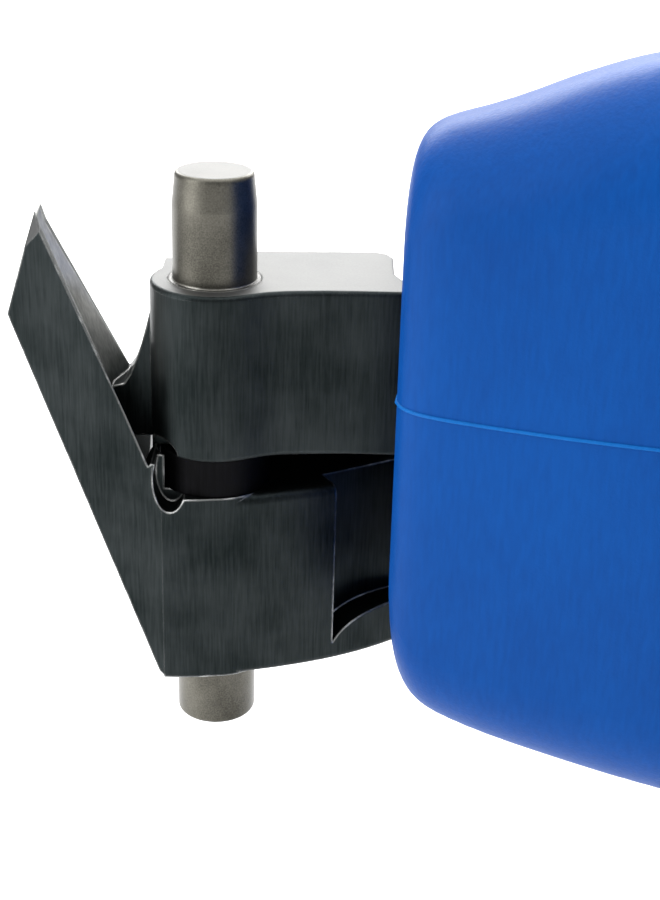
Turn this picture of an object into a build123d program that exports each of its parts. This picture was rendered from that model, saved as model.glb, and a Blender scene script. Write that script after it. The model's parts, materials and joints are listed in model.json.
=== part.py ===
from build123d import *
from math import cos, sin, radians
import os

os.makedirs("parts", exist_ok=True)

# Millimetres. Z runs up along the pivot pin, +X runs back to the handles, -Y is the near side.

# pivot pin and what rides on it
PIN_R = 2.0
PIN_SEAT_R = 2.2
PIN_LEAD_H = 1.55  # tapered lead at the pin's upper end
PIN_LEAD_R = 1.84
PIN_TOP = 14.45
PIN_BOTTOM = -14.3
PIN_ROUND = 0.22
BOSS_R = 3.08
RUN_CLEAR = 0.03
WASHER_R = 2.7
POCKET_R = 2.9
RING_Z = 5.2
RING_H = 0.7
RING_IN = 1.62
RING_OUT = 2.55

# the two stacked bars
GAP_LOW = -0.97
GAP_HIGH = 1.04
UP_TOP = 9.3
LOW_BOTTOM = -10.9
AXIAL_CLEAR = 0.05

# jaws, side outline in X and Z
TIP = (-8.25, 12.5)
EDGE_TIP = (-8.0, 11.65)
EDGE_ROOT = (-3.0, 0.8)
HEEL = (-9.85, 7.3)
OUTER_X = -10.8
FACET_TURN = 50.0
CORNER_X = -2.4
JAW_MEET = 0.01
JAW_ROOT_W = 3.0
JAW_TIP_W = 0.5
BEVEL_DROP = 1.3

# handles
TANG_H_BACK = 92.0
NEAR_TURN = -8.0
FAR_TURN = 8.0
NEAR_START = (9.0, -3.6, 0.0)
FAR_START = (10.4, 6.6, 0.0)
FAR_DROP = -4.2
PART_Z = 6.0
TANG_W = 6.0
SKIN = 2.4
SCREW_S = (24.0, 68.0)
SCREW_R = 1.5
HEAD_R = 2.75
HEAD_H = 2.4
INSERT_R = 2.4
INSERT_H = 5.5
POST_R = 4.2

# grip sections: distance along the handle, depth, lowest and highest Z
SECTIONS = [
    (0.0, 6.6, -5.6, 15.9),
    (0.35, 8.0, -8.0, 17.1),
    (1.2, 9.2, -9.8, 17.8),
    (3.0, 10.2, -10.9, 18.4),
    (7.0, 11.6, -12.0, 20.0),
    (14.0, 13.0, -13.4, 21.8),
    (30.0, 14.2, -14.0, 22.2),
    (55.0, 14.2, -12.2, 19.6),
    (78.0, 13.0, -10.2, 17.6),
    (92.0, 11.6, -8.4, 16.0),
    (97.5, 8.6, -5.6, 13.4),
    (99.0, 5.0, -2.0, 9.8),
]
INNER = [3.0, 7.0, 14.0, 30.0, 55.0, 78.0, 92.0]


def heading(turn):
    return (cos(radians(turn)), sin(radians(turn)), 0.0)


def across(turn):
    return (-sin(radians(turn)), cos(radians(turn)), 0.0)


def along(start, turn, s, side=0.0, z=0.0):
    h = heading(turn)
    a = across(turn)
    return (start[0] + s * h[0] + side * a[0], start[1] + s * h[1] + side * a[1], z)


def flat(start, turn, s, side=0.0):
    p = along(start, turn, s, side)
    return (p[0], p[1])


def station(start, turn, s, z):
    return Plane(origin=along(start, turn, s, 0.0, z), x_dir=across(turn), z_dir=heading(turn))


# plan outline of each tang, from the bar back through the grip
NEAR_TANG = [
    (3.0, -1.7),
    (9.2, -1.6),
    flat(NEAR_START, NEAR_TURN, 6.5, -TANG_W / 2),
    flat(NEAR_START, NEAR_TURN, TANG_H_BACK - 12.0, -TANG_W / 2),
    flat(NEAR_START, NEAR_TURN, TANG_H_BACK - 12.0, TANG_W / 2),
    flat(NEAR_START, NEAR_TURN, 9.0, TANG_W / 2),
    (9.2, -0.1),
    (7.6, 1.0),
    (3.0, 1.0),
]
FAR_TANG = [
    (6.0, 2.4),
    (9.6, 3.6),
    flat(FAR_START, FAR_TURN, 3.0, -TANG_W / 2),
    flat(FAR_START, FAR_TURN, TANG_H_BACK - 12.0, -TANG_W / 2),
    flat(FAR_START, FAR_TURN, TANG_H_BACK - 12.0, TANG_W / 2),
    flat(FAR_START, FAR_TURN, 3.0, TANG_W / 2),
    (9.6, 8.2),
    (6.0, 5.4),
]

# outer face and bevel planes of the near jaw; the far jaw mirrors them in Y
bevel_root = Vector(EDGE_ROOT[0], -JAW_ROOT_W + 0.1, EDGE_ROOT[1])
bevel_tip = Vector(EDGE_TIP[0], -JAW_TIP_W, EDGE_TIP[1])
bevel_line = bevel_tip - bevel_root
bevel_low = Vector(EDGE_ROOT[0] - BEVEL_DROP, 0.0, EDGE_ROOT[1] - 0.4)
bevel_n = bevel_line.cross(bevel_low - bevel_root).normalized()
if bevel_n.X < 0:
    bevel_n = -bevel_n
bevel_near = Plane(origin=bevel_root, x_dir=bevel_line, z_dir=bevel_n)
far_root = Vector(bevel_root.X, -bevel_root.Y, bevel_root.Z)
far_line = Vector(bevel_line.X, -bevel_line.Y, bevel_line.Z)
bevel_far = Plane(origin=far_root, x_dir=far_line, z_dir=Vector(bevel_n.X, -bevel_n.Y, bevel_n.Z))
facet_at = Vector(-8.05, -0.95, 11.65)
facet_along = Vector(-1.12, 0.0, -2.45).normalized()
facet_out = Vector(-0.91, 0.0, 0.416).normalized()
facet_n = facet_out * cos(radians(FACET_TURN)) + Vector(0, -1, 0) * sin(radians(FACET_TURN))
facet_near = Plane(origin=facet_at, x_dir=facet_along, z_dir=facet_n)

# ---------------------------------------------------------------- lower half and near jaw
with BuildPart() as lower_half:
    with BuildSketch(Plane.XZ.offset(JAW_MEET)):
        with BuildLine():
            Polyline(
                TIP, EDGE_TIP, EDGE_ROOT, (CORNER_X, 0.0), (CORNER_X, LOW_BOTTOM + 0.1),
                (CORNER_X - 0.25, LOW_BOTTOM + 0.3), HEEL, close=True,
            )
        make_face()
    extrude(amount=3.4)
    with Locations(bevel_near):
        Box(60, 30, 12, align=(Align.CENTER, Align.CENTER, Align.MIN), mode=Mode.SUBTRACT)
    with BuildSketch(Plane.XZ.offset(0.15)):
        with BuildLine():
            Polyline((-4.4, -2.4), (-3.2, 0.4), (-2.9, 0.8), (-1.6, 0.8), (-1.6, -2.4), close=True)
        make_face()
    extrude(amount=JAW_ROOT_W - 0.3)
    with BuildSketch(Plane.XY.offset(LOW_BOTTOM - 1)):
        with BuildLine():
            Polyline(
                (CORNER_X, -JAW_ROOT_W), (OUTER_X, 0.0), (-12.0, 0.0), (-12.0, -6.0), (0.0, -6.0),
                (0.0, -JAW_ROOT_W), close=True,
            )
        make_face()
    extrude(amount=30, mode=Mode.SUBTRACT)
    with BuildSketch(Plane.XY.offset(LOW_BOTTOM)):
        with BuildLine():
            Spline((CORNER_X, -JAW_ROOT_W), (-0.2, -2.86), (1.8, -2.4), (6.0, -0.9), (10.2, 1.9))
            Polyline(
                (10.2, 1.9), (9.5, 8.2), (5.0, 5.0), (1.6, 2.4), (0.0, BOSS_R - 0.1), (CORNER_X, 0.6),
                (CORNER_X - 0.15, -0.2), (CORNER_X - 0.15, -2.6), (CORNER_X, -JAW_ROOT_W),
            )
        make_face()
        Circle(BOSS_R - 0.28)
    extrude(amount=GAP_LOW - LOW_BOTTOM)
    near_curves = lower_half.edges().filter_by_position(Axis.Y, -2.9, 0.8).filter_by(GeomType.BSPLINE)
    fillet(near_curves.filter_by_position(Axis.Z, GAP_LOW - 0.01, GAP_LOW + 0.01), radius=0.45)
    near_curves = lower_half.edges().filter_by_position(Axis.Y, -2.9, 0.8).filter_by(GeomType.BSPLINE)
    fillet(near_curves.filter_by_position(Axis.Z, LOW_BOTTOM - 0.01, LOW_BOTTOM + 0.01), radius=0.3)
    with BuildSketch(Plane.XY.offset(GAP_LOW)):
        with BuildLine():
            Polyline(
                (-2.2, 0.3), (0.0, 2.3), (9.9, 3.6), (9.5, 8.2), (5.0, 5.0), (1.6, 3.0),
                (0.0, 3.2), (-1.9, 2.6), (-2.9, 1.4), (-3.15, 0.3), close=True,
            )
        make_face()
    extrude(amount=GAP_HIGH - GAP_LOW - 0.1)
    scoop_facing = (sin(radians(30)), -cos(radians(30)), 0)
    with BuildSketch(Plane(origin=(5.3, 0.4, 0), x_dir=heading(30), z_dir=scoop_facing)):
        with BuildLine():
            Spline((0.0, -9.9), (1.1, -8.9), (2.3, -8.5), (6.0, -8.4))
            Polyline((6.0, -8.4), (6.0, 2.0), (0.0, 2.0), (0.0, -9.9))
        make_face()
    extrude(amount=6, mode=Mode.SUBTRACT)
    with BuildSketch(Plane.XY.offset(GAP_LOW - 8.3)):
        with BuildLine():
            Polyline(*FAR_TANG, close=True)
        make_face()
    extrude(amount=8.3)
    with BuildSketch(Plane.XZ.offset(JAW_ROOT_W - 1.3)):
        with Locations((-2.0, -0.05)):
            Ellipse(0.8, 1.6)
    extrude(amount=4, mode=Mode.SUBTRACT)
    with BuildSketch(Plane.XY.offset(GAP_LOW)):
        Circle(POCKET_R)
    extrude(amount=4, mode=Mode.SUBTRACT)
    with Locations(facet_near):
        Box(30, 30, 6, align=(Align.CENTER, Align.CENTER, Align.MIN), mode=Mode.SUBTRACT)
    with BuildSketch(Plane.XY.offset(LOW_BOTTOM - 1)):
        Circle(PIN_SEAT_R)
        with Locations([flat(FAR_START, FAR_TURN, s) for s in SCREW_S]):
            Circle(SCREW_R + 0.1)
    extrude(amount=14, mode=Mode.SUBTRACT)
lower_half.part.label = "lower_half"
export_step(lower_half.part, "parts/lower_half.step")

# ---------------------------------------------------------------- upper half and far jaw
# the boss runs into the bar's near face in one smooth curve, from this point of its circle
boss_front = (BOSS_R * sin(radians(15)), -BOSS_R * cos(radians(15)))
boss_tangent = (cos(radians(15)), sin(radians(15)))
boss_back = (-BOSS_R * sin(radians(20)), BOSS_R * cos(radians(20)))
with BuildPart() as upper_half:
    with BuildSketch(Plane.XZ.offset(-JAW_MEET)):
        with BuildLine():
            Polyline(
                TIP, EDGE_TIP, EDGE_ROOT, (-3.4, GAP_HIGH), (-3.4, -7.0), HEEL, close=True,
            )
        make_face()
    extrude(amount=-3.4)
    with Locations(bevel_far):
        Box(60, 30, 12, align=(Align.CENTER, Align.CENTER, Align.MIN), mode=Mode.SUBTRACT)
    with BuildSketch(Plane.XY.offset(LOW_BOTTOM - 1)):
        with BuildLine():
            Polyline(
                (CORNER_X, JAW_ROOT_W), (OUTER_X, 0.0), (-12.0, 0.0), (-12.0, 6.0), (0.0, 6.0),
                (0.0, JAW_ROOT_W), close=True,
            )
        make_face()
    extrude(amount=30, mode=Mode.SUBTRACT)
    with BuildSketch(Plane.XZ.offset(-0.15)):
        with BuildLine():
            Polyline((0.0, GAP_HIGH), (-5.4, GAP_HIGH), (-5.0, 3.6), (-4.45, 3.75), (-4.15, 4.2))
            Spline((-4.15, 4.2), (-3.7, 5.4), (-3.2, 7.2), (-2.62, UP_TOP))
            Polyline((-2.62, UP_TOP), (0.0, UP_TOP), (0.0, GAP_HIGH))
        make_face()
    extrude(amount=-2.75)
    with BuildSketch(Plane.XY.offset(GAP_HIGH)):
        with BuildLine():
            ThreePointArc(boss_back, (-BOSS_R, 0.0), boss_front)
            Spline(boss_front, (2.5, -2.22), (4.6, -1.8), (8.9, -1.5), tangents=(boss_tangent, (1.0, 0.06)))
            Polyline(
                (8.9, -1.5), (8.9, 0.2), (8.5, 1.2), (8.5, 3.8), (8.2, 4.5), (7.6, 4.8),
                (1.85, 4.4), boss_back,
            )
        make_face()
    extrude(amount=UP_TOP - GAP_HIGH)
    with BuildSketch(Plane.XY.offset(GAP_HIGH)):
        with BuildLine():
            Polyline(*NEAR_TANG, close=True)
        make_face()
    extrude(amount=UP_TOP - GAP_HIGH)
    near_rim = upper_half.edges().filter_by_position(Axis.Y, -3.1, -1.3).filter_by_position(Axis.X, -3.0, 8.0)
    fillet(near_rim.filter_by_position(Axis.Z, UP_TOP - 0.01, UP_TOP + 0.01), radius=0.22)
    near_rim = upper_half.edges().filter_by_position(Axis.Y, -3.1, -1.3).filter_by_position(Axis.X, -2.4, 8.0)
    fillet(near_rim.filter_by_position(Axis.Z, GAP_HIGH - 0.01, GAP_HIGH + 0.01), radius=0.22)
    with BuildSketch(Plane.XZ.offset(0.9)):
        with Locations((-2.35, GAP_HIGH)):
            Ellipse(0.75, 0.75)
    extrude(amount=4, mode=Mode.SUBTRACT)
    with BuildSketch(Plane.XY.offset(GAP_HIGH - 1)):
        Circle(PIN_SEAT_R + RUN_CLEAR)
        with Locations([flat(NEAR_START, NEAR_TURN, s) for s in SCREW_S]):
            Circle(SCREW_R + 0.1)
    extrude(amount=14, mode=Mode.SUBTRACT)
    with BuildSketch(Plane.XY.offset(RING_Z - RING_H / 2 - AXIAL_CLEAR)):
        Circle(RING_OUT + 0.08)
    extrude(amount=RING_H + 2 * AXIAL_CLEAR, mode=Mode.SUBTRACT)
upper_half.part.label = "upper_half"
export_step(upper_half.part, "parts/upper_half.step")

# ---------------------------------------------------------------- pivot pin
with BuildPart() as pivot_pin:
    with BuildSketch(Plane.XY.offset(PIN_BOTTOM)):
        Circle(PIN_R)
    extrude(amount=PIN_TOP - PIN_LEAD_H - PIN_BOTTOM)
    with Locations((0, 0, PIN_TOP - PIN_LEAD_H)):
        Cone(PIN_R, PIN_LEAD_R, PIN_LEAD_H, align=(Align.CENTER, Align.CENTER, Align.MIN))
    with BuildSketch(Plane.XY.offset(LOW_BOTTOM)):
        Circle(PIN_SEAT_R)
    extrude(amount=UP_TOP - LOW_BOTTOM)
    fillet(pivot_pin.edges().sort_by(Axis.Z)[-1], radius=PIN_ROUND)
    fillet(pivot_pin.edges().sort_by(Axis.Z)[0], radius=PIN_ROUND)
    with BuildSketch(Plane.XY.offset(RING_Z - RING_H / 2)):
        Circle(PIN_R + 1)
        Circle(RING_IN, mode=Mode.SUBTRACT)
    extrude(amount=RING_H, mode=Mode.SUBTRACT)
pivot_pin.part.label = "pivot_pin"
export_step(pivot_pin.part, "parts/pivot_pin.step")

# ---------------------------------------------------------------- thrust washer in the gap
with BuildPart() as thrust_washer:
    with BuildSketch(Plane.XY.offset(GAP_LOW)):
        Circle(WASHER_R)
        Circle(PIN_SEAT_R, mode=Mode.SUBTRACT)
    extrude(amount=GAP_HIGH - GAP_LOW - AXIAL_CLEAR)
thrust_washer.part.label = "thrust_washer"
export_step(thrust_washer.part, "parts/thrust_washer.step")

# ---------------------------------------------------------------- split ring holding the upper half down
with BuildPart() as retaining_ring:
    with BuildSketch(Plane.XY.offset(RING_Z - RING_H / 2)):
        Circle(RING_OUT)
        Circle(RING_IN, mode=Mode.SUBTRACT)
        with Locations((2.0, 0)):
            Rectangle(2.0, 0.7, mode=Mode.SUBTRACT)
    extrude(amount=RING_H)
retaining_ring.part.label = "retaining_ring"
export_step(retaining_ring.part, "parts/retaining_ring.step")

# ---------------------------------------------------------------- near grip, lower shell
with BuildPart() as near_grip_lower:
    for s, depth, low, high in SECTIONS:
        with BuildSketch(station(NEAR_START, NEAR_TURN, s, (low + high) / 2)):
            RectangleRounded(depth, high - low, depth * 0.44)
    loft()
    with BuildSketch(Plane.XY.offset(PART_Z)):
        with Locations((55, 0)):
            Rectangle(160, 120)
    extrude(amount=40, mode=Mode.SUBTRACT)
    for s, depth, low, high in SECTIONS:
        if s in INNER:
            with BuildSketch(station(NEAR_START, NEAR_TURN, s, (low + high) / 2)):
                RectangleRounded(depth - 2 * SKIN, high - low - 2 * SKIN, (depth - 2 * SKIN) * 0.44)
    loft(mode=Mode.SUBTRACT)
    with BuildSketch(Plane.XY.offset(-11.5)):
        with Locations(flat(NEAR_START, NEAR_TURN, SCREW_S[0])):
            Circle(POST_R)
    extrude(amount=GAP_HIGH + 11.5)
    with BuildSketch(Plane.XY.offset(-9.5)):
        with Locations(flat(NEAR_START, NEAR_TURN, SCREW_S[1])):
            Circle(POST_R)
    extrude(amount=GAP_HIGH + 9.5)
    with BuildSketch(Plane.XY.offset(GAP_HIGH)):
        with BuildLine():
            Polyline(*NEAR_TANG, close=True)
        make_face()
    extrude(amount=UP_TOP - GAP_HIGH, mode=Mode.SUBTRACT)
    with BuildSketch(Plane.XY.offset(-20)):
        with Locations([flat(NEAR_START, NEAR_TURN, s) for s in SCREW_S]):
            Circle(SCREW_R)
    extrude(amount=30, mode=Mode.SUBTRACT)
    with BuildSketch(Plane.XY.offset(-20)):
        with Locations([flat(NEAR_START, NEAR_TURN, s) for s in SCREW_S]):
            Circle(HEAD_R + 0.15)
    extrude(amount=20 - 4.0, mode=Mode.SUBTRACT)
near_grip_lower.part.label = "near_grip_lower"
export_step(near_grip_lower.part, "parts/near_grip_lower.step")

# ---------------------------------------------------------------- near grip, upper shell
with BuildPart() as near_grip_upper:
    for s, depth, low, high in SECTIONS:
        with BuildSketch(station(NEAR_START, NEAR_TURN, s, (low + high) / 2)):
            RectangleRounded(depth, high - low, depth * 0.44)
    loft()
    with BuildSketch(Plane.XY.offset(PART_Z)):
        with Locations((55, 0)):
            Rectangle(160, 120)
    extrude(amount=-40, mode=Mode.SUBTRACT)
    for s, depth, low, high in SECTIONS:
        if s in INNER:
            with BuildSketch(station(NEAR_START, NEAR_TURN, s, (low + high) / 2)):
                RectangleRounded(depth - 2 * SKIN, high - low - 2 * SKIN, (depth - 2 * SKIN) * 0.44)
    loft(mode=Mode.SUBTRACT)
    with BuildSketch(Plane.XY.offset(UP_TOP)):
        with Locations(flat(NEAR_START, NEAR_TURN, SCREW_S[0])):
            Circle(POST_R)
    extrude(amount=19.8 - UP_TOP)
    with BuildSketch(Plane.XY.offset(UP_TOP)):
        with Locations(flat(NEAR_START, NEAR_TURN, SCREW_S[1])):
            Circle(POST_R)
    extrude(amount=17.0 - UP_TOP)
    with BuildSketch(Plane.XY.offset(GAP_HIGH)):
        with BuildLine():
            Polyline(*NEAR_TANG, close=True)
        make_face()
    extrude(amount=UP_TOP - GAP_HIGH, mode=Mode.SUBTRACT)
    with BuildSketch(Plane.XY.offset(UP_TOP - 2)):
        with Locations([flat(NEAR_START, NEAR_TURN, s) for s in SCREW_S]):
            Circle(INSERT_R)
    extrude(amount=2 + INSERT_H, mode=Mode.SUBTRACT)
near_grip_upper.part.label = "near_grip_upper"
export_step(near_grip_upper.part, "parts/near_grip_upper.step")

# ---------------------------------------------------------------- near grip screws and inserts
with BuildPart() as near_screw_front:
    with BuildSketch(Plane.XY.offset(-4.0 - HEAD_H)):
        with Locations(flat(NEAR_START, NEAR_TURN, SCREW_S[0])):
            Circle(HEAD_R)
    extrude(amount=HEAD_H)
    with BuildSketch(Plane.XY.offset(-4.0)):
        with Locations(flat(NEAR_START, NEAR_TURN, SCREW_S[0])):
            Circle(SCREW_R)
    extrude(amount=18.0)
    with BuildSketch(Plane.XY.offset(-4.0 - HEAD_H)):
        with Locations(flat(NEAR_START, NEAR_TURN, SCREW_S[0])):
            RegularPolygon(1.45, 6)
    extrude(amount=1.3, mode=Mode.SUBTRACT)
near_screw_front.part.label = "near_screw_front"
export_step(near_screw_front.part, "parts/near_screw_front.step")

with BuildPart() as near_screw_rear:
    with BuildSketch(Plane.XY.offset(-4.0 - HEAD_H)):
        with Locations(flat(NEAR_START, NEAR_TURN, SCREW_S[1])):
            Circle(HEAD_R)
    extrude(amount=HEAD_H)
    with BuildSketch(Plane.XY.offset(-4.0)):
        with Locations(flat(NEAR_START, NEAR_TURN, SCREW_S[1])):
            Circle(SCREW_R)
    extrude(amount=18.0)
    with BuildSketch(Plane.XY.offset(-4.0 - HEAD_H)):
        with Locations(flat(NEAR_START, NEAR_TURN, SCREW_S[1])):
            RegularPolygon(1.45, 6)
    extrude(amount=1.3, mode=Mode.SUBTRACT)
near_screw_rear.part.label = "near_screw_rear"
export_step(near_screw_rear.part, "parts/near_screw_rear.step")

with BuildPart() as near_insert_front:
    with BuildSketch(Plane.XY.offset(UP_TOP)):
        with Locations(flat(NEAR_START, NEAR_TURN, SCREW_S[0])):
            Circle(INSERT_R)
            Circle(SCREW_R, mode=Mode.SUBTRACT)
    extrude(amount=INSERT_H)
near_insert_front.part.label = "near_insert_front"
export_step(near_insert_front.part, "parts/near_insert_front.step")

with BuildPart() as near_insert_rear:
    with BuildSketch(Plane.XY.offset(UP_TOP)):
        with Locations(flat(NEAR_START, NEAR_TURN, SCREW_S[1])):
            Circle(INSERT_R)
            Circle(SCREW_R, mode=Mode.SUBTRACT)
    extrude(amount=INSERT_H)
near_insert_rear.part.label = "near_insert_rear"
export_step(near_insert_rear.part, "parts/near_insert_rear.step")

# ---------------------------------------------------------------- far grip, lower shell
with BuildPart() as far_grip_lower:
    for s, depth, low, high in SECTIONS:
        with BuildSketch(station(FAR_START, FAR_TURN, s, (low + high) / 2 + FAR_DROP)):
            RectangleRounded(depth, high - low, depth * 0.44)
    loft()
    with BuildSketch(Plane.XY.offset(PART_Z + FAR_DROP)):
        with Locations((55, 0)):
            Rectangle(160, 120)
    extrude(amount=40, mode=Mode.SUBTRACT)
    for s, depth, low, high in SECTIONS:
        if s in INNER:
            with BuildSketch(station(FAR_START, FAR_TURN, s, (low + high) / 2 + FAR_DROP)):
                RectangleRounded(depth - 2 * SKIN, high - low - 2 * SKIN, (depth - 2 * SKIN) * 0.44)
    loft(mode=Mode.SUBTRACT)
    with BuildSketch(Plane.XY.offset(-11.5 + FAR_DROP)):
        with Locations(flat(FAR_START, FAR_TURN, SCREW_S[0])):
            Circle(POST_R)
    extrude(amount=GAP_LOW - 8.3 + 11.5 - FAR_DROP)
    with BuildSketch(Plane.XY.offset(-9.5 + FAR_DROP)):
        with Locations(flat(FAR_START, FAR_TURN, SCREW_S[1])):
            Circle(POST_R)
    extrude(amount=GAP_LOW - 8.3 + 9.5 - FAR_DROP)
    with BuildSketch(Plane.XY.offset(GAP_LOW - 8.3)):
        with BuildLine():
            Polyline(*FAR_TANG, close=True)
        make_face()
    extrude(amount=8.3, mode=Mode.SUBTRACT)
    with BuildSketch(Plane.XY.offset(-20)):
        with Locations([flat(FAR_START, FAR_TURN, s) for s in SCREW_S]):
            Circle(SCREW_R)
    extrude(amount=30, mode=Mode.SUBTRACT)
    with BuildSketch(Plane.XY.offset(-24)):
        with Locations([flat(FAR_START, FAR_TURN, s) for s in SCREW_S]):
            Circle(HEAD_R + 0.15)
    extrude(amount=24 - 11.4, mode=Mode.SUBTRACT)
far_grip_lower.part.label = "far_grip_lower"
export_step(far_grip_lower.part, "parts/far_grip_lower.step")

# ---------------------------------------------------------------- far grip, upper shell
with BuildPart() as far_grip_upper:
    for s, depth, low, high in SECTIONS:
        with BuildSketch(station(FAR_START, FAR_TURN, s, (low + high) / 2 + FAR_DROP)):
            RectangleRounded(depth, high - low, depth * 0.44)
    loft()
    with BuildSketch(Plane.XY.offset(PART_Z + FAR_DROP)):
        with Locations((55, 0)):
            Rectangle(160, 120)
    extrude(amount=-40, mode=Mode.SUBTRACT)
    for s, depth, low, high in SECTIONS:
        if s in INNER:
            with BuildSketch(station(FAR_START, FAR_TURN, s, (low + high) / 2 + FAR_DROP)):
                RectangleRounded(depth - 2 * SKIN, high - low - 2 * SKIN, (depth - 2 * SKIN) * 0.44)
    loft(mode=Mode.SUBTRACT)
    with BuildSketch(Plane.XY.offset(GAP_LOW)):
        with Locations(flat(FAR_START, FAR_TURN, SCREW_S[0])):
            Circle(POST_R)
    extrude(amount=19.8 + FAR_DROP - GAP_LOW)
    with BuildSketch(Plane.XY.offset(GAP_LOW)):
        with Locations(flat(FAR_START, FAR_TURN, SCREW_S[1])):
            Circle(POST_R)
    extrude(amount=17.0 + FAR_DROP - GAP_LOW)
    with BuildSketch(Plane.XY.offset(GAP_LOW - 2)):
        with Locations([flat(FAR_START, FAR_TURN, s) for s in SCREW_S]):
            Circle(INSERT_R)
    extrude(amount=2 + INSERT_H, mode=Mode.SUBTRACT)
far_grip_upper.part.label = "far_grip_upper"
export_step(far_grip_upper.part, "parts/far_grip_upper.step")

# ---------------------------------------------------------------- far grip screws and inserts
with BuildPart() as far_screw_front:
    with BuildSketch(Plane.XY.offset(-11.4 - HEAD_H)):
        with Locations(flat(FAR_START, FAR_TURN, SCREW_S[0])):
            Circle(HEAD_R)
    extrude(amount=HEAD_H)
    with BuildSketch(Plane.XY.offset(-11.4)):
        with Locations(flat(FAR_START, FAR_TURN, SCREW_S[0])):
            Circle(SCREW_R)
    extrude(amount=15.4)
    with BuildSketch(Plane.XY.offset(-11.4 - HEAD_H)):
        with Locations(flat(FAR_START, FAR_TURN, SCREW_S[0])):
            RegularPolygon(1.45, 6)
    extrude(amount=1.3, mode=Mode.SUBTRACT)
far_screw_front.part.label = "far_screw_front"
export_step(far_screw_front.part, "parts/far_screw_front.step")

with BuildPart() as far_screw_rear:
    with BuildSketch(Plane.XY.offset(-11.4 - HEAD_H)):
        with Locations(flat(FAR_START, FAR_TURN, SCREW_S[1])):
            Circle(HEAD_R)
    extrude(amount=HEAD_H)
    with BuildSketch(Plane.XY.offset(-11.4)):
        with Locations(flat(FAR_START, FAR_TURN, SCREW_S[1])):
            Circle(SCREW_R)
    extrude(amount=15.4)
    with BuildSketch(Plane.XY.offset(-11.4 - HEAD_H)):
        with Locations(flat(FAR_START, FAR_TURN, SCREW_S[1])):
            RegularPolygon(1.45, 6)
    extrude(amount=1.3, mode=Mode.SUBTRACT)
far_screw_rear.part.label = "far_screw_rear"
export_step(far_screw_rear.part, "parts/far_screw_rear.step")

with BuildPart() as far_insert_front:
    with BuildSketch(Plane.XY.offset(GAP_LOW)):
        with Locations(flat(FAR_START, FAR_TURN, SCREW_S[0])):
            Circle(INSERT_R)
            Circle(SCREW_R, mode=Mode.SUBTRACT)
    extrude(amount=INSERT_H)
far_insert_front.part.label = "far_insert_front"
export_step(far_insert_front.part, "parts/far_insert_front.step")

with BuildPart() as far_insert_rear:
    with BuildSketch(Plane.XY.offset(GAP_LOW)):
        with Locations(flat(FAR_START, FAR_TURN, SCREW_S[1])):
            Circle(INSERT_R)
            Circle(SCREW_R, mode=Mode.SUBTRACT)
    extrude(amount=INSERT_H)
far_insert_rear.part.label = "far_insert_rear"
export_step(far_insert_rear.part, "parts/far_insert_rear.step")
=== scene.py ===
import json
import math
import bpy
from mathutils import Matrix, Vector
from mathutils.geometry import convex_hull_2d

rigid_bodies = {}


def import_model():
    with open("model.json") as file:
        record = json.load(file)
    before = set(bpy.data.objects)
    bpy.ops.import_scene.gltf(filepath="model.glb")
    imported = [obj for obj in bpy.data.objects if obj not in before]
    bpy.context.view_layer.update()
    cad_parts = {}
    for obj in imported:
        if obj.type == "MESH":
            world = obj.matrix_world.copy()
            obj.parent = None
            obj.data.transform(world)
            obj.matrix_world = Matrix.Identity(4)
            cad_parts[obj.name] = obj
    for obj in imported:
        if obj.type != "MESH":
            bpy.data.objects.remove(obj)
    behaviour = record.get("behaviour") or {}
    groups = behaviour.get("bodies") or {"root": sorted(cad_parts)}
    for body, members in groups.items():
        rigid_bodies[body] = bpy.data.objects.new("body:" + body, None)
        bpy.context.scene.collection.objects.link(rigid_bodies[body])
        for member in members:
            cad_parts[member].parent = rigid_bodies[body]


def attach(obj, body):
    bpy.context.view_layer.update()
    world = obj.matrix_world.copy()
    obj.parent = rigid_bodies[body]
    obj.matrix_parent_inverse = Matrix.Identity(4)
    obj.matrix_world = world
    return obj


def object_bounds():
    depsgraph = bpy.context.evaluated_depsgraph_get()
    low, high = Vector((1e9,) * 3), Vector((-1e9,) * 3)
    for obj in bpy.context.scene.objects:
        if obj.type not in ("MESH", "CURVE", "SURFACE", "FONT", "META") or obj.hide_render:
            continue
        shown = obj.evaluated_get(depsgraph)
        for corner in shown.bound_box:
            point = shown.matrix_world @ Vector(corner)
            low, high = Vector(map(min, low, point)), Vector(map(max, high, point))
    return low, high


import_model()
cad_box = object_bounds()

MM = 0.001
nodes = bpy.data.objects


# ---------------------------------------------------------------------------
# Black steel halves. Two forged and ground steel halves, lapped on the pin and blackened in hot oxide.
# The grinding lines run up the faces, and the edges are lightened to bare metal, partly as rubbed wear
# and partly as a painted highlight.

def add(tree, kind, x, y, **settings):
    node = tree.nodes.new(kind)
    node.location = (x, y)
    for key, value in settings.items():
        setattr(node, key, value)
    return node


def new_group(name, inputs, outputs):
    group = bpy.data.node_groups.new(name, "ShaderNodeTree")
    for label, kind, value in inputs:
        socket = group.interface.new_socket(label, in_out="INPUT", socket_type=kind)
        if value is not None:
            socket.default_value = value
    for label, kind in outputs:
        group.interface.new_socket(label, in_out="OUTPUT", socket_type=kind)
    return group


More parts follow.
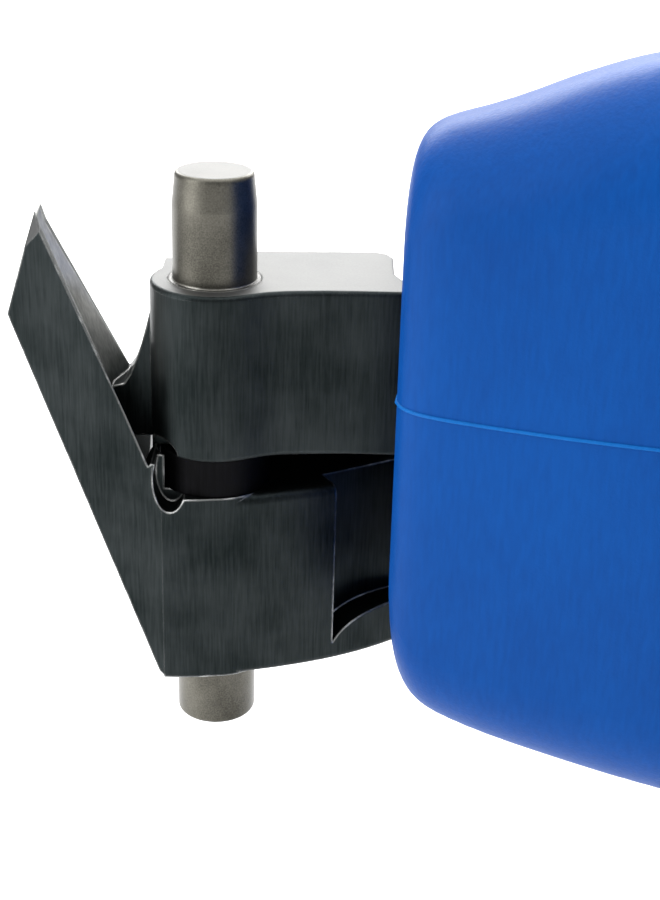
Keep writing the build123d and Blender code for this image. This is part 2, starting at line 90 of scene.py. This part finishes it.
# ground grain: fine lines along one direction, plus a cloudy variation
grain = new_group(
    "ground_grain",
    [("Vector", "NodeSocketVector", None), ("Lines", "NodeSocketFloat", 9000.0),
     ("Stretch", "NodeSocketFloat", 0.06), ("Cloud", "NodeSocketFloat", 260.0)],
    [("Lines", "NodeSocketFloat"), ("Cloud", "NodeSocketFloat"), ("Speckle", "NodeSocketFloat")],
)
g_in = add(grain, "NodeGroupInput", -800, 0)
g_out = add(grain, "NodeGroupOutput", 600, 0)
g_join = add(grain, "ShaderNodeCombineXYZ", -600, 120)
g_join.inputs["X"].default_value = 1.0
g_join.inputs["Y"].default_value = 1.0
grain.links.new(g_in.outputs["Stretch"], g_join.inputs["Z"])
g_long = add(grain, "ShaderNodeVectorMath", -400, 120, operation="MULTIPLY")
grain.links.new(g_in.outputs["Vector"], g_long.inputs[0])
grain.links.new(g_join.outputs[0], g_long.inputs[1])
g_lines = add(grain, "ShaderNodeTexNoise", -200, 160)
g_lines.inputs["Detail"].default_value = 3.0
grain.links.new(g_long.outputs[0], g_lines.inputs["Vector"])
grain.links.new(g_in.outputs["Lines"], g_lines.inputs["Scale"])
g_cloud = add(grain, "ShaderNodeTexNoise", -200, -80)
g_cloud.inputs["Detail"].default_value = 5.0
grain.links.new(g_in.outputs["Vector"], g_cloud.inputs["Vector"])
grain.links.new(g_in.outputs["Cloud"], g_cloud.inputs["Scale"])
g_spot = add(grain, "ShaderNodeTexVoronoi", -200, -320)
grain.links.new(g_in.outputs["Vector"], g_spot.inputs["Vector"])
grain.links.new(g_in.outputs["Lines"], g_spot.inputs["Scale"])
g_spot_map = add(grain, "ShaderNodeMapRange", 60, -320)
g_spot_map.inputs["From Min"].default_value = 0.22
g_spot_map.inputs["From Max"].default_value = 0.05
grain.links.new(g_spot.outputs["Distance"], g_spot_map.inputs["Value"])
grain.links.new(g_lines.outputs["Fac"], g_out.inputs["Lines"])
grain.links.new(g_cloud.outputs["Fac"], g_out.inputs["Cloud"])
grain.links.new(g_spot_map.outputs["Result"], g_out.inputs["Speckle"])

# worn edge and painted highlight: finds sharp edges and roughens their outline; the lightened edges are
# partly rubbed wear and partly a painted highlight
wear_and_highlight_group = new_group(
    "worn_edge",
    [("Vector", "NodeSocketVector", None), ("Reach", "NodeSocketFloat", 0.00018),
     ("Break up", "NodeSocketFloat", 0.5)],
    [("Edge", "NodeSocketFloat"), ("Normal", "NodeSocketVector")],
)
w_in = add(wear_and_highlight_group, "NodeGroupInput", -800, 0)
w_out = add(wear_and_highlight_group, "NodeGroupOutput", 700, 0)
w_bevel = add(wear_and_highlight_group, "ShaderNodeBevel", -600, 120, samples=6)
wear_and_highlight_group.links.new(w_in.outputs["Reach"], w_bevel.inputs["Radius"])
w_flat = add(wear_and_highlight_group, "ShaderNodeNewGeometry", -600, -60)
w_dot = add(wear_and_highlight_group, "ShaderNodeVectorMath", -380, 60, operation="DOT_PRODUCT")
wear_and_highlight_group.links.new(w_bevel.outputs["Normal"], w_dot.inputs[0])
wear_and_highlight_group.links.new(w_flat.outputs["Normal"], w_dot.inputs[1])
w_sharp = add(wear_and_highlight_group, "ShaderNodeMapRange", -180, 60)
w_sharp.inputs["From Min"].default_value = 0.985
w_sharp.inputs["From Max"].default_value = 0.86
wear_and_highlight_group.links.new(w_dot.outputs["Value"], w_sharp.inputs["Value"])
w_noise = add(wear_and_highlight_group, "ShaderNodeTexNoise", -380, -240)
w_noise.inputs["Scale"].default_value = 1400.0
w_noise.inputs["Detail"].default_value = 4.0
wear_and_highlight_group.links.new(w_in.outputs["Vector"], w_noise.inputs["Vector"])
w_break = add(wear_and_highlight_group, "ShaderNodeMapRange", -180, -240)
w_break.inputs["From Min"].default_value = 0.35
w_break.inputs["From Max"].default_value = 0.65
w_break.inputs["To Max"].default_value = 1.0
wear_and_highlight_group.links.new(w_noise.outputs["Fac"], w_break.inputs["Value"])
w_keep = add(wear_and_highlight_group, "ShaderNodeMath", 20, -140, operation="SUBTRACT")
w_keep.inputs[0].default_value = 1.0
wear_and_highlight_group.links.new(w_in.outputs["Break up"], w_keep.inputs[1])
w_low = add(wear_and_highlight_group, "ShaderNodeMath", 200, -140, operation="MAXIMUM")
wear_and_highlight_group.links.new(w_keep.outputs[0], w_low.inputs[0])
wear_and_highlight_group.links.new(w_break.outputs["Result"], w_low.inputs[1])
w_mask = add(wear_and_highlight_group, "ShaderNodeMath", 400, 40, operation="MULTIPLY", use_clamp=True)
wear_and_highlight_group.links.new(w_sharp.outputs["Result"], w_mask.inputs[0])
wear_and_highlight_group.links.new(w_low.outputs[0], w_mask.inputs[1])
wear_and_highlight_group.links.new(w_mask.outputs[0], w_out.inputs["Edge"])
wear_and_highlight_group.links.new(w_bevel.outputs["Normal"], w_out.inputs["Normal"])


# flat plane mask: marks the part of a surface that lies in one plane; it marks the wheel-ground flats,
# and the pin's seat ring, which is given a painted shade
flat_plane_mask = new_group(
    "ground_flat",
    [("Vector", "NodeSocketVector", None), ("Facing", "NodeSocketVector", None),
     ("Normal", "NodeSocketVector", None), ("Distance", "NodeSocketFloat", 0.0),
     ("Depth", "NodeSocketFloat", 0.00003), ("Above", "NodeSocketFloat", -1.0)],
    [("Flat mask", "NodeSocketFloat")],
)
f_in = add(flat_plane_mask, "NodeGroupInput", -600, 0)
f_out = add(flat_plane_mask, "NodeGroupOutput", 500, 0)
f_dot = add(flat_plane_mask, "ShaderNodeVectorMath", -400, 0, operation="DOT_PRODUCT")
flat_plane_mask.links.new(f_in.outputs["Vector"], f_dot.inputs[0])
flat_plane_mask.links.new(f_in.outputs["Facing"], f_dot.inputs[1])
f_off = add(flat_plane_mask, "ShaderNodeMath", -200, 0, operation="SUBTRACT")
flat_plane_mask.links.new(f_dot.outputs["Value"], f_off.inputs[0])
flat_plane_mask.links.new(f_in.outputs["Distance"], f_off.inputs[1])
f_abs = add(flat_plane_mask, "ShaderNodeMath", 0, 0, operation="ABSOLUTE")
flat_plane_mask.links.new(f_off.outputs[0], f_abs.inputs[0])
f_less = add(flat_plane_mask, "ShaderNodeMath", 200, 0, operation="LESS_THAN")
flat_plane_mask.links.new(f_abs.outputs[0], f_less.inputs[0])
flat_plane_mask.links.new(f_in.outputs["Depth"], f_less.inputs[1])
f_turn = add(flat_plane_mask, "ShaderNodeVectorMath", -400, -220, operation="DOT_PRODUCT")
flat_plane_mask.links.new(f_in.outputs["Normal"], f_turn.inputs[0])
flat_plane_mask.links.new(f_in.outputs["Facing"], f_turn.inputs[1])
f_square = add(flat_plane_mask, "ShaderNodeMath", -200, -220, operation="GREATER_THAN")
f_square.inputs[1].default_value = 0.97
flat_plane_mask.links.new(f_turn.outputs["Value"], f_square.inputs[0])
f_split = add(flat_plane_mask, "ShaderNodeSeparateXYZ", -400, -420)
flat_plane_mask.links.new(f_in.outputs["Vector"], f_split.inputs[0])
f_rise = add(flat_plane_mask, "ShaderNodeMath", -200, -420, operation="SUBTRACT")
flat_plane_mask.links.new(f_split.outputs["Z"], f_rise.inputs[0])
flat_plane_mask.links.new(f_in.outputs["Above"], f_rise.inputs[1])
f_fade = add(flat_plane_mask, "ShaderNodeMapRange", 0, -420)
f_fade.inputs["From Max"].default_value = 0.0015
flat_plane_mask.links.new(f_rise.outputs[0], f_fade.inputs["Value"])
f_both = add(flat_plane_mask, "ShaderNodeMath", 220, -200, operation="MULTIPLY")
flat_plane_mask.links.new(f_less.outputs[0], f_both.inputs[0])
flat_plane_mask.links.new(f_square.outputs[0], f_both.inputs[1])
f_all = add(flat_plane_mask, "ShaderNodeMath", 380, -300, operation="MULTIPLY")
flat_plane_mask.links.new(f_both.outputs[0], f_all.inputs[0])
flat_plane_mask.links.new(f_fade.outputs["Result"], f_all.inputs[1])
flat_plane_mask.links.new(f_all.outputs[0], f_out.inputs["Flat mask"])


def steel(
    name, dark, light, edge_colour, rough, wear_and_highlight,
    lines=9000.0, stretch=0.06, bump=0.000004, reach=0.00018, flats=(),
):
    """Ground steel with cloudy colour, grinding lines, speckle, edges lightened partly as rubbed wear
    and partly as a painted highlight, and flats of their own colour, for wheel-ground flats and for a
    painted shade ring.
    """
    mat = bpy.data.materials.new(name)
    mat.use_nodes = True
    tree = mat.node_tree
    bsdf = tree.nodes["Principled BSDF"]
    bsdf.inputs["Metallic"].default_value = 1.0
    place = add(tree, "ShaderNodeTexCoord", -1200, 0)
    lay = add(tree, "ShaderNodeGroup", -900, 200)
    lay.node_tree = grain
    lay.inputs["Lines"].default_value = lines
    lay.inputs["Stretch"].default_value = stretch
    tree.links.new(place.outputs["Object"], lay.inputs["Vector"])
    edge_wear_and_highlight = add(tree, "ShaderNodeGroup", -900, -200)
    edge_wear_and_highlight.node_tree = wear_and_highlight_group
    edge_wear_and_highlight.inputs["Reach"].default_value = reach
    edge_wear_and_highlight.inputs["Break up"].default_value = 0.6
    tree.links.new(place.outputs["Object"], edge_wear_and_highlight.inputs["Vector"])
    blend = add(tree, "ShaderNodeMath", -660, 260, operation="MULTIPLY_ADD")
    tree.links.new(lay.outputs["Lines"], blend.inputs[0])
    blend.inputs[1].default_value = 0.55
    tree.links.new(lay.outputs["Cloud"], blend.inputs[2])
    tone = add(tree, "ShaderNodeMapRange", -480, 260)
    tone.inputs["From Min"].default_value = 0.55
    tone.inputs["From Max"].default_value = 1.0
    tree.links.new(blend.outputs[0], tone.inputs["Value"])
    colour = add(tree, "ShaderNodeMix", -300, 300, data_type="RGBA")
    colour.inputs["A"].default_value = (*dark, 1)
    colour.inputs["B"].default_value = (*light, 1)
    tree.links.new(tone.outputs["Result"], colour.inputs["Factor"])
    edge = add(tree, "ShaderNodeMath", -480, -120, operation="MULTIPLY")
    tree.links.new(edge_wear_and_highlight.outputs["Edge"], edge.inputs[0])
    edge.inputs[1].default_value = wear_and_highlight
    wear_and_highlight_colour = add(tree, "ShaderNodeMix", -120, 240, data_type="RGBA")
    wear_and_highlight_colour.inputs["B"].default_value = (*edge_colour, 1)
    tree.links.new(colour.outputs["Result"], wear_and_highlight_colour.inputs["A"])
    tree.links.new(edge.outputs[0], wear_and_highlight_colour.inputs["Factor"])
    shown = wear_and_highlight_colour.outputs["Result"]
    matt = None
    for facing, distance, flat_colour, above in flats:
        cut = add(tree, "ShaderNodeGroup", -700, 520)
        cut.node_tree = flat_plane_mask
        cut.inputs["Facing"].default_value = facing
        cut.inputs["Distance"].default_value = distance
        cut.inputs["Above"].default_value = above
        tree.links.new(place.outputs["Object"], cut.inputs["Vector"])
        tree.links.new(place.outputs["Normal"], cut.inputs["Normal"])
        swirl = add(tree, "ShaderNodeMath", -480, 520, operation="MULTIPLY_ADD", use_clamp=True)
        tree.links.new(tone.outputs["Result"], swirl.inputs[0])
        swirl.inputs[1].default_value = 0.5
        swirl.inputs[2].default_value = 0.5
        amount = add(tree, "ShaderNodeMath", -300, 520, operation="MULTIPLY")
        tree.links.new(cut.outputs["Flat mask"], amount.inputs[0])
        tree.links.new(swirl.outputs[0], amount.inputs[1])
        flat_colour_mix = add(tree, "ShaderNodeMix", -60, 520, data_type="RGBA")
        flat_colour_mix.inputs["B"].default_value = (*flat_colour, 1)
        tree.links.new(shown, flat_colour_mix.inputs["A"])
        tree.links.new(amount.outputs[0], flat_colour_mix.inputs["Factor"])
        shown = flat_colour_mix.outputs["Result"]
        matt = cut.outputs["Flat mask"]
    tree.links.new(shown, bsdf.inputs["Base Color"])
    gloss = add(tree, "ShaderNodeMapRange", -300, 20)
    gloss.inputs["To Min"].default_value = rough - 0.09
    gloss.inputs["To Max"].default_value = rough + 0.11
    tree.links.new(blend.outputs[0], gloss.inputs["Value"])
    if matt:
        dull = add(tree, "ShaderNodeMath", -120, 20, operation="MULTIPLY_ADD", use_clamp=True)
        tree.links.new(matt, dull.inputs[0])
        dull.inputs[1].default_value = 0.16
        tree.links.new(gloss.outputs["Result"], dull.inputs[2])
        tree.links.new(dull.outputs[0], bsdf.inputs["Roughness"])
    else:
        tree.links.new(gloss.outputs["Result"], bsdf.inputs["Roughness"])
    height = add(tree, "ShaderNodeMath", -480, -320, operation="MULTIPLY_ADD")
    tree.links.new(lay.outputs["Speckle"], height.inputs[0])
    height.inputs[1].default_value = 0.35
    tree.links.new(lay.outputs["Lines"], height.inputs[2])
    fine = add(tree, "ShaderNodeBump", -200, -300)
    fine.inputs["Strength"].default_value = 1.0
    fine.inputs["Distance"].default_value = bump
    tree.links.new(height.outputs[0], fine.inputs["Height"])
    tree.links.new(edge_wear_and_highlight.outputs["Normal"], fine.inputs["Normal"])
    tree.links.new(fine.outputs["Normal"], bsdf.inputs["Normal"])
    return mat


# the cutting bevels and the near jaw's tip are ground after blackening, so they show bare
edge_root = Vector((-3.0, 0.0, 0.8)) * MM
edge_tip = Vector((-8.0, 0.0, 11.65)) * MM
root_half = 2.9 * MM
tip_half = 0.5 * MM
bevel_drop = Vector((-1.3, 0.0, -0.4)) * MM
top_of_bar = 9.3 * MM
UPWARD = Vector((0.0, 0.0, 1.0))
NO_LIMIT = -1.0
bevel_starts = 3.2 * MM
bare_bevel = (0.78, 0.78, 0.75)
bare_tip = (0.10, 0.10, 0.10)
bare_top = (0.15, 0.15, 0.146)
facet_turn = math.radians(50.0)
facet_edge = Vector((-0.91, 0.0, 0.416)).normalized()
facet_out = facet_edge * math.cos(facet_turn) + Vector((0.0, -math.sin(facet_turn), 0.0))
facet_at = Vector((-8.05, -0.95, 11.65)) * MM
for name, side in (("lower_half", -1.0), ("upper_half", 1.0)):
    root = edge_root + Vector((0.0, side * root_half, 0.0))
    tip = edge_tip + Vector((0.0, side * tip_half, 0.0))
    meet = edge_root + bevel_drop
    facing = (tip - root).cross(meet - root).normalized()
    if facing.x < 0:
        facing = -facing
    flats = [(facing, facing.dot(root), bare_bevel, bevel_starts)]
    if name == "upper_half":
        flats.append((UPWARD, top_of_bar, bare_top, NO_LIMIT))
    else:
        flats.append((facet_out, facet_out.dot(facet_at), bare_tip, NO_LIMIT))
    # painted highlight: the bright edge colour and strong wear amount here light the edges of the
    # halves as highlight lines, on top of rubbed wear
    nodes[name].material_slots[0].material = steel(
        "black_steel_" + name.split("_")[0], (0.008, 0.011, 0.011), (0.028, 0.033, 0.034),
        (0.75, 0.76, 0.75), 0.34, 0.85, flats=flats,
    )


# ---------------------------------------------------------------------------
# Pivot pin. A turned and centreless-ground dowel pin, pressed into the lower
# half and standing out at both ends, left bright and slightly stained.

PIN_TOP = 14.45 * MM
pin_steel = steel(
    "pin_steel", (0.045, 0.043, 0.036), (0.14, 0.134, 0.114), (0.7, 0.69, 0.64), 0.3, 0.5,
    lines=14000.0, stretch=1.0, bump=0.000006,
    flats=[
        # painted shade: the flat level with the top of the bar is the pin's seat ring, and its
        # near-black colour paints a dark ring of shade at the pin's base
        (UPWARD, top_of_bar, (0.02, 0.02, 0.02), NO_LIMIT),
        (UPWARD, PIN_TOP, (0.10, 0.10, 0.097), NO_LIMIT),
    ],
)
nodes["pivot_pin"].material_slots[0].material = pin_steel


# ---------------------------------------------------------------------------
# Thrust washer and retaining ring. A blackened washer fills the gap between
# the halves, and a split wire ring inside the upper bore holds the lap shut.

# painted shade: the washer is blackened steel, but its near-black colour, darker than the halves and
# with near-black edges, also paints the shade in the gap between the halves
washer_steel = steel(
    "washer_steel", (0.003, 0.003, 0.003), (0.008, 0.008, 0.009), (0.02, 0.02, 0.02), 0.5, 0.25,
)
nodes["thrust_washer"].material_slots[0].material = washer_steel
wire_steel = steel("wire_steel", (0.12, 0.12, 0.12), (0.3, 0.3, 0.3), (0.6, 0.6, 0.6), 0.3, 0.3)
nodes["retaining_ring"].material_slots[0].material = wire_steel


# ---------------------------------------------------------------------------
# Grips. Each is two blue moulded shells, closed on a flat steel tang, with a
# fine spark-eroded texture and a thin line of flash where they meet.

def moulded(name, deep, pale, rough, bump):
    """Moulded plastic: cloudy colour, fine eroded texture and faint drag lines."""
    mat = bpy.data.materials.new(name)
    mat.use_nodes = True
    tree = mat.node_tree
    bsdf = tree.nodes["Principled BSDF"]
    bsdf.inputs["IOR"].default_value = 1.45
    bsdf.inputs["Specular IOR Level"].default_value = 0.1
    place = add(tree, "ShaderNodeTexCoord", -1200, 0)
    lay = add(tree, "ShaderNodeGroup", -900, 200)
    lay.node_tree = grain
    lay.inputs["Lines"].default_value = 5200.0
    lay.inputs["Stretch"].default_value = 0.16
    lay.inputs["Cloud"].default_value = 90.0
    tree.links.new(place.outputs["Object"], lay.inputs["Vector"])
    pit = add(tree, "ShaderNodeTexNoise", -900, -120)
    pit.inputs["Scale"].default_value = 7000.0
    pit.inputs["Detail"].default_value = 2.0
    tree.links.new(place.outputs["Object"], pit.inputs["Vector"])
    blend = add(tree, "ShaderNodeMath", -660, 260, operation="MULTIPLY_ADD")
    tree.links.new(lay.outputs["Lines"], blend.inputs[0])
    blend.inputs[1].default_value = 0.7
    tree.links.new(lay.outputs["Cloud"], blend.inputs[2])
    tone = add(tree, "ShaderNodeMapRange", -480, 260)
    tone.inputs["From Min"].default_value = 0.6
    tone.inputs["From Max"].default_value = 1.1
    tree.links.new(blend.outputs[0], tone.inputs["Value"])
    colour = add(tree, "ShaderNodeMix", -300, 300, data_type="RGBA")
    colour.inputs["A"].default_value = (*deep, 1)
    colour.inputs["B"].default_value = (*pale, 1)
    tree.links.new(tone.outputs["Result"], colour.inputs["Factor"])
    tree.links.new(colour.outputs["Result"], bsdf.inputs["Base Color"])
    gloss = add(tree, "ShaderNodeMapRange", -300, 20)
    gloss.inputs["To Min"].default_value = rough - 0.06
    gloss.inputs["To Max"].default_value = rough + 0.08
    tree.links.new(pit.outputs["Fac"], gloss.inputs["Value"])
    tree.links.new(gloss.outputs["Result"], bsdf.inputs["Roughness"])
    height = add(tree, "ShaderNodeMath", -480, -220, operation="MULTIPLY_ADD")
    tree.links.new(lay.outputs["Lines"], height.inputs[0])
    height.inputs[1].default_value = 0.5
    tree.links.new(pit.outputs["Fac"], height.inputs[2])
    fine = add(tree, "ShaderNodeBump", -200, -220)
    fine.inputs["Distance"].default_value = bump
    tree.links.new(height.outputs[0], fine.inputs["Height"])
    tree.links.new(fine.outputs["Normal"], bsdf.inputs["Normal"])
    return mat


blue_grip = moulded("blue_grip", (0.0, 0.040, 0.200), (0.0, 0.053, 0.248), 0.46, 0.000012)
for side in ("near", "far"):
    for half in ("lower", "upper"):
        nodes[f"{side}_grip_{half}"].material_slots[0].material = blue_grip


# ---------------------------------------------------------------------------
# Mould flash. A thin raised line of plastic all round each grip where its two shells meet, left by the
# mould and coloured a paler blue than the shells.

flash_pale = moulded("flash_pale", (0.0, 0.075, 0.29), (0.004, 0.105, 0.37), 0.4, 0.000006)
BEAD_RADIUS = 0.085 * MM
BEAD_PROUD = 0.02 * MM
BEAD_SPACING = 0.5 * MM

bead_tree = bpy.data.node_groups.new("flash_bead", "GeometryNodeTree")
for label, kind in (
    ("Geometry", "NodeSocketGeometry"), ("Bead radius", "NodeSocketFloat"),
    ("Spacing", "NodeSocketFloat"), ("Material", "NodeSocketMaterial"),
):
    bead_tree.interface.new_socket(label, in_out="INPUT", socket_type=kind)
bead_tree.interface.new_socket("Geometry", in_out="OUTPUT", socket_type="NodeSocketGeometry")
b_in = add(bead_tree, "NodeGroupInput", -800, 0)
b_out = add(bead_tree, "NodeGroupOutput", 800, 0)
b_curve = add(bead_tree, "GeometryNodeMeshToCurve", -600, 0)
bead_tree.links.new(b_in.outputs["Geometry"], b_curve.inputs["Mesh"])
b_even = add(bead_tree, "GeometryNodeResampleCurve", -400, 0, mode="LENGTH")
bead_tree.links.new(b_curve.outputs["Curve"], b_even.inputs["Curve"])
bead_tree.links.new(b_in.outputs["Spacing"], b_even.inputs["Length"])
b_round = add(bead_tree, "GeometryNodeCurvePrimitiveCircle", -400, -200)
b_round.inputs["Resolution"].default_value = 10
bead_tree.links.new(b_in.outputs["Bead radius"], b_round.inputs["Radius"])
b_tube = add(bead_tree, "GeometryNodeCurveToMesh", -200, 0)
bead_tree.links.new(b_even.outputs["Curve"], b_tube.inputs["Curve"])
bead_tree.links.new(b_round.outputs["Curve"], b_tube.inputs["Profile Curve"])
b_smooth = add(bead_tree, "GeometryNodeSetShadeSmooth", 0, 0)
bead_tree.links.new(b_tube.outputs["Mesh"], b_smooth.inputs["Geometry"])
b_real = add(bead_tree, "GeometryNodeRealizeInstances", 200, 0)
bead_tree.links.new(b_smooth.outputs["Geometry"], b_real.inputs["Geometry"])
b_set = add(bead_tree, "GeometryNodeSetMaterial", 400, 0)
bead_tree.links.new(b_real.outputs["Geometry"], b_set.inputs["Geometry"])
bead_tree.links.new(b_in.outputs["Material"], b_set.inputs["Material"])
bead_tree.links.new(b_set.outputs["Geometry"], b_out.inputs["Geometry"])


def finished(piece, tree, settings):
    """Runs a node tree on a piece and keeps its result as one plain mesh."""
    modifier = piece.modifiers.new(tree.name, "NODES")
    modifier.node_group = tree
    for item in tree.interface.items_tree:
        if item.in_out == "INPUT" and item.name in settings:
            modifier[item.identifier] = settings[item.name]
    bpy.context.view_layer.update()
    result = bpy.data.meshes.new_from_object(piece.evaluated_get(bpy.context.evaluated_depsgraph_get()))
    piece.modifiers.clear()
    piece.data = result
    return piece


for side, body, joint_z in (("near", "upper_body", 6.0 * MM), ("far", "lower_body", 1.8 * MM)):
    shell = nodes[f"{side}_grip_upper"]
    joint = [shell.matrix_world @ v.co for v in shell.data.vertices]
    rim = [p.xy for p in joint if abs(p.z - joint_z) < 0.01 * MM]
    order = convex_hull_2d(rim)
    outline = [rim[i] for i in order]
    middle = sum(outline, Vector((0.0, 0.0))) / len(outline)
    loop = bpy.data.meshes.new(f"{side}_grip_flash")
    points = []
    for spot in outline:
        away = (spot - middle).normalized() * BEAD_PROUD
        points.append((spot.x + away.x, spot.y + away.y, joint_z))
    loop.from_pydata(points, [(i, (i + 1) % len(points)) for i in range(len(points))], [])
    flash = bpy.data.objects.new(f"{side}_grip_flash", loop)
    bpy.context.collection.objects.link(flash)
    finished(
        flash, bead_tree,
        {"Bead radius": BEAD_RADIUS, "Spacing": BEAD_SPACING, "Material": flash_pale},
    )
    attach(flash, body)


# ---------------------------------------------------------------------------
# Grip screws and inserts. Socket screws rise through the lower shell and the
# tang into knurled brass inserts moulded into the upper shell.

screw_steel = steel("screw_steel", (0.05, 0.05, 0.055), (0.13, 0.13, 0.14), (0.5, 0.5, 0.5), 0.32, 0.5)
insert_brass = steel("insert_brass", (0.42, 0.27, 0.09), (0.7, 0.5, 0.2), (0.85, 0.7, 0.4), 0.3, 0.4)
for side in ("near", "far"):
    for end in ("front", "rear"):
        nodes[f"{side}_screw_{end}"].material_slots[0].material = screw_steel
        nodes[f"{side}_insert_{end}"].material_slots[0].material = insert_brass


# ---------------------------------------------------------------------------
# Floor, light and camera. A pale floor under a bright tent: a wide soft panel
# overhead, a brighter one low behind for the top faces, and a soft side fill.

low, high = cad_box
FLOOR_DROP = 0.045
floor_mesh = bpy.data.meshes.new("floor")
floor_z = low[2] - FLOOR_DROP
FLOOR_REACH = 6.0
corners = [(-1, -1), (1, -1), (1, 1), (-1, 1)]
floor_mesh.from_pydata(
    [(x * FLOOR_REACH, y * FLOOR_REACH, floor_z) for x, y in corners], [], [(0, 1, 2, 3)],
)
floor = bpy.data.objects.new("floor", floor_mesh)
bpy.context.collection.objects.link(floor)
floor_white = bpy.data.materials.new("floor_white")
floor_white.use_nodes = True
floor_bsdf = floor_white.node_tree.nodes["Principled BSDF"]
floor_bsdf.inputs["Base Color"].default_value = (0.93, 0.93, 0.93, 1)
floor_bsdf.inputs["Roughness"].default_value = 0.9
floor_mesh.materials.append(floor_white)

world = bpy.data.worlds.new("tent")
bpy.context.scene.world = world
world.use_nodes = True
world.node_tree.nodes["Background"].inputs["Color"].default_value = (1, 1, 1, 1)
world.node_tree.nodes["Background"].inputs["Strength"].default_value = 0.62


def panel(name, size, where, aim, power, depth=None):
    """A soft rectangular light panel, looking at a point."""
    lamp = bpy.data.lights.new(name, "AREA")
    lamp.shape = "RECTANGLE"
    lamp.size = size
    lamp.size_y = depth or size
    lamp.energy = power
    shade = bpy.data.objects.new(name, lamp)
    shade.location = where
    shade.rotation_euler = (Vector(aim) - Vector(where)).to_track_quat("-Z", "Y").to_euler()
    bpy.context.collection.objects.link(shade)
    return shade


panel("overhead", 1.2, (0.0, 0.1, 0.75), (0.0, 0.0, 0.0), 11.0)
panel("back", 1.0, (0.05, 0.8, 0.38), (0.0, 0.0, 0.02), 12.0, depth=0.4)
panel("left", 0.4, (-0.5, -0.25, 0.2), (0.0, 0.0, 0.0), 2.6, depth=0.5)

CAMERA_PITCH = 23.85
CAMERA_ROLL = 1.57
CAMERA_REACH = 0.0790
CAMERA_AIM = Vector((0.00565, 0.0, 0.00056))
pitch = math.radians(CAMERA_PITCH)
roll = math.radians(CAMERA_ROLL)
back = Vector((0.0, -math.cos(pitch), math.sin(pitch)))
right0 = Vector((1.0, 0.0, 0.0))
up0 = back.cross(right0)
right = math.cos(roll) * right0 + math.sin(roll) * up0
up = -math.sin(roll) * right0 + math.cos(roll) * up0
camera_data = bpy.data.cameras.new("camera")
camera_data.lens = 64.0
camera_data.sensor_width = 36.0
camera_data.clip_start = 0.005
camera = bpy.data.objects.new("camera", camera_data)
bpy.context.collection.objects.link(camera)
place = CAMERA_AIM + back * CAMERA_REACH
camera.matrix_world = Matrix.Translation(place) @ Matrix((right, up, back)).transposed().to_4x4()
bpy.context.scene.camera = camera
bpy.context.scene.view_settings.view_transform = "Standard"
